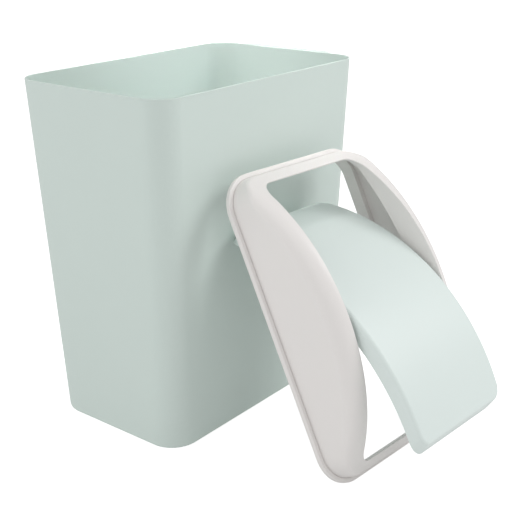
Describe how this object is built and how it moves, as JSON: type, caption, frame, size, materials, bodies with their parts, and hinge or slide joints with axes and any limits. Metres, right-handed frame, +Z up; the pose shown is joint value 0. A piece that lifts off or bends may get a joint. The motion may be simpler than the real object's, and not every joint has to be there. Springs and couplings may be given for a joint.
{
  "type": "swing-top waste bin",
  "caption": "Tapered plastic waste bin with a lift-off domed lid and a swinging curved flap between two cheeks.",
  "frame": {"origin": "centre of the bin's underside, on the surface that it stands on", "axes": "+Z up, +X along the bin's length towards the grip lip, -Y towards the side that the lid leans on"},
  "size_m": [0.351, 0.4795, 0.395],
  "materials": {
    "body_plastic": "satin moulded, pale grey-green",
    "lid_plastic": "satin moulded, warm off-white",
    "flap_plastic": "satin moulded, pale cool white"
  },
  "bodies": {
    "bin": {"bin_body": "body_plastic"},
    "lid": {"lid_frame": "lid_plastic"},
    "flap": {"flap": "flap_plastic"}
  },
  "joints": [
    {"name": "lid_lift", "type": "slide", "parent": "bin", "child": "lid", "axis": [-0.0607, -0.8901, 0.4517], "range_m": [0, 0.3]},
    {"name": "flap_swing", "type": "hinge", "parent": "lid", "child": "flap", "pos_m": [-0.00582, -0.25641, 0.17877], "axis": [0.9977, -0.068, 0], "range_deg": [0, 90]}
  ]
}
